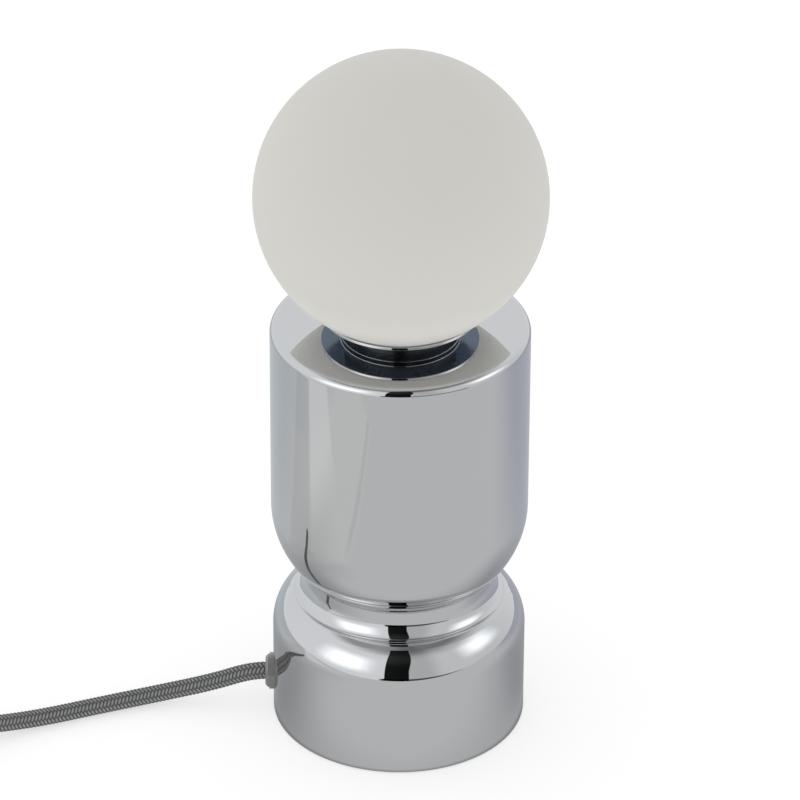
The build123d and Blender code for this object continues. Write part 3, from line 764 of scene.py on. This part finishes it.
@dataclass
class Cup:
    """Round-bottomed cup and its flat cover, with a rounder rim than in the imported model."""

    radius: float = 53.5
    bottom: float = 70.431
    bowl_radius: float = 42.1
    bowl_height: float = 102.221
    top: float = 186.421
    rim_radius: float = 3.2
    wall: float = 1.5
    tube_hole: float = 5.4
    sleeve_hole: float = 22.1
    cover_wall: float = 1.6
    lip: float = 5.0
    lip_gap: float = 0.15

    def shell(self) -> list[Flat]:
        """Outline of the cup, up the outside and down the inside, in millimetres."""
        rim = self.top - self.rim_radius
        floor = self.bottom + self.wall
        inner = self.bowl_radius - self.wall
        middle = (self.radius - self.bowl_radius, self.bowl_height)
        start = -math.degrees(math.asin((self.bowl_height - self.bottom) / self.bowl_radius))
        end = -math.degrees(math.asin((self.bowl_height - floor) / inner))
        bowl, hollow = arc(middle, self.bowl_radius, start, 0.0), arc(middle, inner, 0.0, end)
        outside = [(self.tube_hole, self.bottom), *bowl, (self.radius, rim)]
        return [*outside, (self.radius - self.wall, rim), *hollow, (self.tube_hole, floor)]

    def cover(self) -> list[Flat]:
        """Outline of the flat cover, over the rim and the face and back under it, in millimetres."""
        rim = self.top - self.rim_radius
        under = self.top - self.cover_wall
        lip = self.radius - self.wall - self.lip_gap
        inside, foot = lip - self.cover_wall, rim - self.lip
        corner = arc((self.radius - self.rim_radius, rim), self.rim_radius, 0.0, 90.0)
        back = [(self.sleeve_hole, under), (inside, under), (inside, foot), (lip, foot), (lip, rim)]
        return [*corner, (self.sleeve_hole, self.top), *back]

    def build(self) -> None:
        """Make the cup and the cover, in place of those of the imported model."""
        plated("cup_shell", self.shell())
        plated("top_cover", self.cover())


@dataclass
class Inside:
    """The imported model's own pieces, with the finish of each."""

    finishes: dict[Coating, tuple[str, ...]] = field(
        default_factory=lambda: {
            Coating.CHROME: ("base_shell", "waist_collar", "cup_shell", "top_cover"),
            Coating.GALLERY: ("gallery",),
            Coating.ZINC: (
                "base_brackets", "base_screws", "threaded_tube", "lower_washer", "lower_nut", "upper_washer",
                "upper_nut", "lampholder_bridge", "lampholder_screws", "terminal_screws", "bulb_pins",
                "switch_screws", "plug_pins",
            ),
            Coating.OPAL: ("glass_globe", "globe_neck"),
            Coating.SMOKE: ("cable_gland", "gland_nut"),
            Coating.SPACER: ("gallery_spacer",),
            Coating.FOAM: ("base_pad",),
            Coating.CASTING: ("base_weight",),
            Coating.SILICONE: ("globe_gasket",),
            Coating.CERAMIC: ("lampholder",),
            Coating.WHITE: ("bulb_base", "terminal_block"),
            Coating.FROST: ("bulb_glass",),
            Coating.CORE: ("cord_cores",),
            Coating.BROWN: ("live_wire",),
            Coating.BLUE: ("neutral_wire",),
            Coating.SHELL: ("switch_lower_shell", "switch_upper_shell", "plug_body"),
            Coating.ROCKER: ("switch_rocker",),
            Coating.BRASS: ("switch_contacts",),
            Coating.BAND: ("cord_tie",),
            Coating.BOOT: ("plug_boot", "plug_pin_sleeves"),
        }
    )

    def dress(self, nodes: dict[str, bpy.types.Object]) -> None:
        """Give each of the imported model's pieces its finish."""
        for coating, names in self.finishes.items():
            coating.dress(*(nodes[name] for name in names))
            LOG.info("%s: %s", coating.value.name, ", ".join(names))


@dataclass
class CordRun:
    """One free length of braided cord on a smooth spline.

    Args:
        name: The piece's name.
        route: Control points of the spline, in metres.
        replaced: The CAD pieces that it stands for.
        diameter: The cord's diameter.
        sides: Points round the tube.
        step: Distance between the tube's rings.
        relief: Height of the braid's strands.
        middle: Height of the strands that lies at the cord's diameter, as a share.
        path_step: Distance between the points of the path that build gives back.
    """

    name: str
    route: list[Point]
    replaced: tuple[str, ...]
    diameter: float = 7.2 * MM
    sides: int = 60
    step: float = 0.3 * MM
    relief: float = 0.45 * MM
    middle: float = 0.6
    path_step: float = 1.5 * MM

    def spline(self) -> np.ndarray:
        """Closely spaced points of a smooth line along the route, one row each."""
        curve = bpy.data.curves.new(self.name + "_line", "CURVE")
        curve.dimensions = "3D"
        curve.resolution_u = 24
        line = curve.splines.new("NURBS")
        line.points.add(len(self.route) - 1)
        for point, place in zip(line.points, self.route):
            point.co = (*place, 1.0)
        line.order_u = 3
        line.use_endpoint_u = True
        holder = link(self.name + "_line", curve)
        mesh = bpy.data.meshes.new_from_object(holder)
        points = np.array([vertex.co for vertex in mesh.vertices], float)
        bpy.data.objects.remove(holder)
        bpy.data.meshes.remove(mesh)
        bpy.data.curves.remove(curve)
        return points

    def stations(self) -> tuple[np.ndarray, np.ndarray]:
        """Even places along the line, and the distance of each along it."""
        points = self.spline()
        length = np.concatenate([[0.0], np.cumsum(np.linalg.norm(np.diff(points, axis=0), axis=1))])
        along = np.linspace(0.0, length[-1], max(2, round(length[-1] / self.step) + 1))
        return np.column_stack([np.interp(along, length, points[:, k]) for k in range(3)]), along

    def build(self) -> tuple[bpy.types.Object, list[Point], float]:
        """Make the braided tube, and give it with the points that it follows and its length."""
        points, along = self.stations()
        tube = mesh_object(self.name, self._skin(points, along), self._faces(len(points)), HALF_TURN)
        self._draw_map(tube.data, along)
        Coating.BRAID.dress(tube)
        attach(tube, "lamp")
        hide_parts(*self.replaced)
        every = max(1, round(self.path_step / self.step))
        path = [tuple(point) for point in points[::every]] + [tuple(points[-1])]
        return tube, path, float(along[-1])

    def _skin(self, points: np.ndarray, along: np.ndarray) -> np.ndarray:
        """Points of the tube's skin, ring after ring, with the strands raised."""
        ways = np.gradient(points, axis=0)
        ways /= np.linalg.norm(ways, axis=1)[:, None]
        side = np.cross(ways[0], (0.0, 0.0, 1.0))
        sides = np.zeros_like(points)
        for k, way in enumerate(ways):
            side = side - way * (side @ way)
            side /= np.linalg.norm(side)
            sides[k] = side
        ups = np.cross(ways, sides)
        turn = np.arange(self.sides) / self.sides
        height = Coating.BRAID.value.relief(turn[None, :], along[:, None])
        radius = (self.diameter / 2 + self.relief * (height - self.middle))[:, :, None]
        angle = (2 * np.pi * turn)[None, :, None]
        skin = points[:, None] + radius * (sides[:, None] * np.cos(angle) + ups[:, None] * np.sin(angle))
        return skin.reshape(-1, 3)

    def _faces(self, rings: int) -> list[list[int]]:
        """Faces between the tube's rings, and last one over each end."""
        first = np.arange(rings - 1)[:, None] * self.sides
        column = np.arange(self.sides)[None, :]
        corner, beside = first + column, first + (column + 1) % self.sides
        faces = np.stack([corner, corner + self.sides, beside + self.sides, beside], axis=-1)
        last = (rings - 1) * self.sides
        caps = [list(range(self.sides)), [last + k for k in reversed(range(self.sides))]]
        return faces.reshape(-1, 4).tolist() + caps

    def _draw_map(self, mesh: bpy.types.Mesh, along: np.ndarray) -> None:
        """Write the share of a turn and the metres along to the tube's map."""
        layer = mesh.uv_layers.new(name=Coating.BRAID.value.map_name)
        column = np.arange(self.sides)
        corners = np.zeros((len(along) - 1, self.sides, 4, 2))
        corners[:, :, 0, 0] = corners[:, :, 1, 0] = column / self.sides
        corners[:, :, 2, 0] = corners[:, :, 3, 0] = (column + 1) / self.sides
        corners[:, :, 0, 1] = corners[:, :, 3, 1] = along[:-1, None]
        corners[:, :, 1, 1] = corners[:, :, 2, 1] = along[1:, None]
        values = np.concatenate([corners.reshape(-1, 2), np.zeros((2 * self.sides, 2))])
        layer.data.foreach_set("uv", values.astype(np.float32).ravel())


@dataclass
class Lead:
    """The whole mains lead: from the gland to the switch, and on by its coil to the plug."""

    gland_face: Point = (-0.0564, 0.0, 0.0159)
    switch_far: Point = (-0.251887, -0.051247, 0.0085)
    lamp_length: float = 0.143
    plug_length: float = 1.573
    switch_pieces: tuple[str, ...] = ("switch_lower_shell", "switch_upper_shell")
    inner_pieces: tuple[str, ...] = ("switch_rocker", "switch_screws", "switch_contacts")
    plug_pieces: tuple[str, ...] = ("plug_body", "plug_boot", "plug_pins", "plug_pin_sleeves", "cord_tie")
    coil_centre: Flat = (-0.318, -0.004)
    coil_outer: float = 0.05225
    coil_pitch: float = 0.0078
    coil_rise: float = 0.0078
    coil_low: float = 0.0049
    layer_turns: float = 2.5
    climb_turns: float = 0.5
    points_per_turn: int = 16
    lamp_run: tuple[Point, ...] = (
        (-0.0564, 0.0, 0.0159),
        (-0.0624, 0.0, 0.0159),
        (-0.0790, 0.0003, 0.0096),
        (-0.1010, -0.0005, 0.0045),
        (-0.1260, -0.0085, 0.0036),
        (-0.1500, -0.0185, 0.0039),
        (-0.1690, -0.0266, 0.0059),
        (-0.18137, -0.03235, 0.0085),
        (-0.1920, -0.0352, 0.0085),
    )
    coil_run: tuple[Point, ...] = (
        (-0.251887, -0.051247, 0.0085),
        (-0.26155, -0.05383, 0.0085),
        (-0.2820, -0.0572, 0.0064),
        (-0.29981, -0.05668, 0.0049),
    )
    plug_run: tuple[Point, ...] = (
        (-0.3008, 0.04866, 0.0127),
        (-0.2860, 0.0463, 0.0110),
        (-0.2730, 0.0439, 0.0084),
        (-0.26027, 0.04025, 0.00705),
        (-0.2510, 0.0365, 0.00705),
    )

    def coil_point(self, turn: float) -> Point:
        """Place on the coil's middle line, in turns from the outer end of the lower layer."""
        climb = min(max((turn - self.layer_turns) / self.climb_turns, 0.0), 1.0)
        back = max(turn - self.layer_turns - self.climb_turns, 0.0)
        reverse = self.climb_turns * climb * (1.0 - climb)
        radius = self.coil_outer - self.coil_pitch * (min(turn, self.layer_turns) + reverse - back)
        angle = -math.pi / 2 - 2 * math.pi * turn
        height = self.coil_low + self.coil_rise * climb**2 * (3.0 - 2.0 * climb)
        x, y = self.coil_centre
        return (x + radius * math.cos(angle), y + radius * math.sin(angle), height)

    def build(self, nodes: dict[str, bpy.types.Object]) -> None:
        turns = 2 * self.layer_turns + self.climb_turns
        count = round(turns * self.points_per_turn)
        coil = [self.coil_point(k / self.points_per_turn) for k in range(count + 1)]
        near = CordRun("cord_lamp_side", list(self.lamp_run), ("cord_to_switch", "cord_tail"))
        far = CordRun(
            "cord_plug_side",
            [*self.coil_run, *coil, *self.plug_run],
            ("cord_to_coil", "cord_coil", "cord_to_plug"),
            sides=36,
            step=0.6 * MM,
        )
        switch = [nodes[name] for name in self.switch_pieces]
        ends = [nodes[name] for name in self.plug_pieces]
        inner = [nodes[name] for name in self.inner_pieces]
        tube, path, length = near.build()
        LOG.info("%s: %.3f m", tube.name, length)
        tube, path, length = far.build()
        LOG.info("%s: %.3f m", tube.name, length)
        # What lies outside the picture isn't mirrored by the chrome.
        for piece in (tube, *switch, *ends, *inner):
            piece.visible_glossy = False


@dataclass
class Viewpoint:
    """Where the photograph was taken from; angles in radians, lens and sensor in millimetres."""

    place: Point = (0.0, -1.965291, 1.338315)
    pitch: float = 0.54377
    roll: float = 0.005
    lens: float = 251.086
    sensor: float = 36.0

    def build(self) -> None:
        """Put the camera there, tipped down and rolled a little."""
        camera = bpy.data.cameras.new("camera")
        camera.lens = self.lens
        camera.sensor_width = self.sensor
        holder = link("camera", camera)
        ahead = Vector((0.0, math.cos(self.pitch), -math.sin(self.pitch)))
        across = Vector((1.0, 0.0, 0.0))
        upward = across.cross(ahead)
        cos, sin = math.cos(self.roll), math.sin(self.roll)
        axes = Matrix((cos * across + sin * upward, cos * upward - sin * across, -ahead)).transposed()
        holder.matrix_world = Matrix.Translation(self.place) @ axes.to_4x4()
        bpy.context.scene.camera = holder


@dataclass
class Floor:
    """White paper that keeps the lamp's shadow, with the tones that the chrome mirrors; in metres.

    Args:
        lit: How much of the light on the paper it sends back.
        glow: Light that the paper adds, so that it shows white.
    """

    left: float = -1.6
    right: float = 1.6
    front: float = -0.30
    back: float = 2.4
    lit: float = 0.55
    glow: float = 0.55
    left_zone: Span = Span(-0.290, -0.137, 0.014)
    left_colour: Colour = (0.775, 0.775, 0.765)
    rear_zone: Slope = Slope(-0.06, 0.15)
    rear_blend: Slope = Slope(-0.10, 0.10)
    rear_left_colour: Colour = (0.61, 0.65, 0.675)
    rear_right_colour: Colour = (0.52, 0.54, 0.60)
    dark_colour: Colour = (0.26, 0.26, 0.27)
    # Painted shade to the lamp's left front.
    painted_left_shade: Patch = Patch(Span(-0.21, -0.09, 0.04), Span(-0.10, 0.0, 0.06), 0.3)
    seam: Patch = Patch(Span(-0.150, -0.139, 0.004), Slope(-0.14, -0.18), 0.16)
    fold: Patch = Patch(Slope(-0.13, -0.17), Span(-0.046, 0.04, 0.01), 0.16)
    streak: Patch = Patch(Slope(-0.2, -0.27), Span(-0.16, -0.052, 0.009), 0.5)
    shade: Patch = Patch(Slope(0.20, 0.055), Slope(-0.075, 0.0), 0.75)
    fill: Patch = Patch(Slope(0.0, 0.06), Slope(0.02, -0.03), 0.4)
    # Painted contact shadow round the foot.
    painted_contact_shadow: Slope = Slope(0.0562, 0.0535)
    painted_contact_shadow_share: float = 0.8

    def build(self) -> None:
        """Lay the paper, which is white to the camera and toned in mirrors."""
        left, right, front, back = self.left, self.right, self.front, self.back
        corners = [(left, front, 0.0), (right, front, 0.0), (right, back, 0.0), (left, back, 0.0)]
        floor = mesh_object("floor", np.array(corners), [(0, 1, 2, 3)])
        material = bpy.data.materials.new("floor_paper")
        graph = Graph(material)
        toned = graph.add("ShaderNodeEmission", {}, {"Color": self._tones(graph), "Strength": 1.0})
        paper = graph.add("ShaderNodeBsdfDiffuse", {}, {"Color": rgba(grey(self.lit))})
        glow = graph.add("ShaderNodeEmission", {}, {"Color": rgba(grey(1.0)), "Strength": self.glow})
        white = graph.add("ShaderNodeAddShader", {}, {0: paper, 1: glow})
        mirrored = graph.add("ShaderNodeLightPath", {}, {}, "Is Glossy Ray")
        graph.finish(graph.add("ShaderNodeMixShader", {}, {0: mirrored, 1: white, 2: toned}))
        floor.data.materials.append(material)

    def _tones(self, graph: Graph) -> Term:
        """Colour of the paper in mirrors: zones, seams, painted shade round the lamp and a painted contact
        shadow at its foot.
        """
        x, y, _ = graph.axes(graph.place())
        colour = graph.mix(self.left_zone.of(x), scaled(WALL_TINT, FLOOR_LEVEL), self.left_colour)
        rear = graph.mix(self.rear_blend.of(x), self.rear_left_colour, self.rear_right_colour)
        colour = graph.mix(self.rear_zone.of(y), colour, rear)
        # Painted shade: darker paper to the lamp's left front.
        colour = graph.mix(self.painted_left_shade.of(x, y), colour, self.dark_colour)
        colour = graph.mix(self.seam.of(x, y) + self.fold.of(x, y), colour, self.dark_colour)
        colour = graph.mix(self.streak.of(x, y), colour, grey(1.0))
        reach = (x * x + y * y) ** 0.5
        shade = self.shade.of(reach, y) * (1.0 - self.fill.of(x, y))
        colour = graph.mix(shade, colour, self.dark_colour)
        # Painted contact shadow: a thin dark line on the paper right round the foot.
        return graph.mix(self.painted_contact_shadow_share * self.painted_contact_shadow.of(reach), colour, self.dark_colour)


@dataclass
class Surroundings:
    """What the chrome mirrors round the lamp: pale walls, two soft boxes and the dark gap between them.

    Directions are turns from the viewer, to the right, and rises from the floor, in degrees.
    """

    wall: float = 0.84
    wall_left: Slope = Slope(14.0, -16.0)
    wall_left_gain: float = 0.18
    wall_right: Span = Span(0.0, 34.0, 10.0)
    wall_right_loss: float = 0.2
    rear: Slope = Slope(95.0, 150.0)
    rear_wall: float = 0.98
    ceiling: Slope = Slope(50.0, 64.0)
    ceiling_loss: float = 0.58
    canopy: Patch = Patch(Slope(-40.0, 0.0), Slope(40.0, 56.0), 0.25)
    left_box: Patch = Patch(Span(-70.0, -30.0, 14.0), Span(7.0, 38.0, 9.0), 0.95)
    right_box: Patch = Patch(Span(68.0, 100.0, 13.0), Span(17.0, 42.0, 9.0), 1.0)
    gap_left: Slope = Slope(-12.6, -11.8)
    gap_right: Slope = Slope(14.4, 13.6)
    gap_rise: Span = Span(-20.0, 66.0, 2.0)
    gap_flare: Slope = Slope(-3.0, -12.0)
    gap_flare_turn: float = 3.4
    gap_taper: Slope = Slope(58.0, 8.0)
    gap_taper_turn: float = 5.2
    gap_loss: float = 0.988
    gap_haze: Slope = Slope(22.0, 50.0)
    gap_haze_gain: float = 0.03
    table_edge: Patch = Patch(Span(-16.0, 58.0, 2.0), Span(-14.0, -5.5, 0.5), 0.85)
    table: Slope = Slope(-14.0, -18.0)
    light: float = 0.93
    light_left: Slope = Slope(20.0, -60.0)
    light_left_gain: float = 0.08
    light_top: Slope = Slope(30.0, 70.0)
    light_top_loss: float = 0.14

    def build(self) -> None:
        """Make the world: white to the camera, even light on surfaces, and the room in mirrors."""
        world = bpy.data.worlds.new("studio")
        bpy.context.scene.world = world
        graph = Graph(world)
        x, y, z = graph.axes(graph.add("ShaderNodeTexCoord", {}, {}, "Generated"))
        turn = x.angle_from(0.0 - y) * (HALF_TURN / math.pi)
        rise = z.arcsine() * (HALF_TURN / math.pi)
        light = self.light + self.light_left_gain * self.light_left.of(turn)
        light = light - self.light_top_loss * self.light_top.of(rise)
        path = graph.add("ShaderNodeLightPath", {}, {}, "Is Camera Ray").socket.node
        seen = Term(graph, path.outputs["Is Camera Ray"]) + Term(graph, path.outputs["Is Transmission Ray"])
        mirrored = Term(graph, path.outputs["Is Glossy Ray"])
        room = self._background(graph, WALL_TINT, self._room(turn, rise))
        lamps = self._background(graph, grey(1.0), light)
        white = self._background(graph, grey(1.0), 1.0)
        around = graph.add("ShaderNodeMixShader", {}, {0: mirrored, 1: lamps, 2: room})
        graph.finish(graph.add("ShaderNodeMixShader", {}, {0: seen, 1: around, 2: white}))

    def _room(self, turn: Term, rise: Term) -> Term:
        """Brightness of the room in mirrors, by a direction's turn and rise."""
        rear = self.rear.of(abs(turn))
        front = self.wall + self.wall_left_gain * self.wall_left.of(turn)
        front = front - self.wall_right_loss * self.wall_right.of(turn)
        wall = front * (1.0 - rear) + self.rear_wall * rear
        wall = wall * (1.0 - self.ceiling_loss * self.ceiling.of(rise))
        wall = wall * (1.0 - self.canopy.of(turn, rise))
        boxes = self.left_box.of(turn, rise) + self.right_box.of(turn, rise)
        upper = (wall + boxes) * (1.0 - self._gap(turn, rise)) * (1.0 - self.table_edge.of(turn, rise))
        table = self.table.of(rise)
        return upper * (1.0 - table) + FLOOR_LEVEL * table

    def _gap(self, turn: Term, rise: Term) -> Term:
        """Darkness of the gap between the boxes, flared low on its left and tapered low on its right."""
        left = self.gap_left.of(turn + self.gap_flare_turn * self.gap_flare.of(rise))
        right = self.gap_right.of(turn + self.gap_taper_turn * self.gap_taper.of(rise))
        loss = self.gap_loss - self.gap_haze_gain * self.gap_haze.of(rise)
        return left * right * self.gap_rise.of(rise) * loss

    @staticmethod
    def _background(graph: Graph, colour: Colour, strength: Union[Term, float]) -> Term:
        """Background shader of a colour and a strength."""
        return graph.add("ShaderNodeBackground", {}, {"Color": rgba(colour), "Strength": strength})


@dataclass
class Studio:
    """The photograph's studio: viewpoint, floor and surroundings."""

    viewpoint: Viewpoint = field(default_factory=Viewpoint)
    floor: Floor = field(default_factory=Floor)
    surroundings: Surroundings = field(default_factory=Surroundings)

    def build(self) -> None:
        """Make all three, and show colours as they are."""
        bpy.context.scene.view_settings.view_transform = "Standard"
        self.viewpoint.build()
        self.floor.build()
        self.surroundings.build()


def main() -> None:
    """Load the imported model, dress it and set up the studio."""
    logging.basicConfig(level=logging.INFO, format="%(name)s: %(message)s")
    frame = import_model()
    nodes = frame["nodes"]
    Studio().build()
    Inside().dress(nodes)
    Collar().build()
    Cup().build()
    Lead().build(nodes)


if __name__ == "__main__":
    main()
